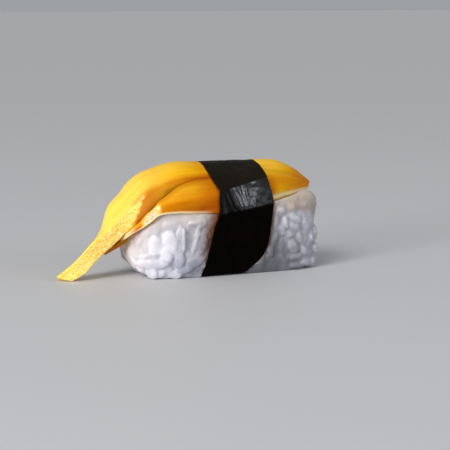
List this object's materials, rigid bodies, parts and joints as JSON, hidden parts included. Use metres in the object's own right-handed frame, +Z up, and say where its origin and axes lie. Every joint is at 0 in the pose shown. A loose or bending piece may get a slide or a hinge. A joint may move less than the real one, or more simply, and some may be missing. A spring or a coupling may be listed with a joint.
{
  "type": "mango nigiri",
  "caption": "Hand-pressed block of sushi rice topped with overlapping slices of ripe mango that hang past one end, held by a strip of seaweed wrapped round the middle.",
  "frame": {"origin": "middle of the rice block's footprint on the surface it stands on", "axes": "+Z up; X along the rice block, with the hanging tail of the top mango slice towards -X; -Y is the front"},
  "size_m": [0.0692, 0.0261, 0.0278],
  "materials": {
    "rice": null,
    "mango": "ripe mango flesh, moist, smooth outside and granular where it was cut; gloss_plastic stands in",
    "seaweed": "roasted seaweed, slightly moist and softly shiny, finely pebbled; matte_plastic stands in"
  },
  "bodies": {
    "root": {"rice_block": "rice", "mango_slice_top": "mango", "mango_slice_front": "mango", "mango_slice_back": "mango", "seaweed_band": "seaweed"}
  },
  "joints": []
}
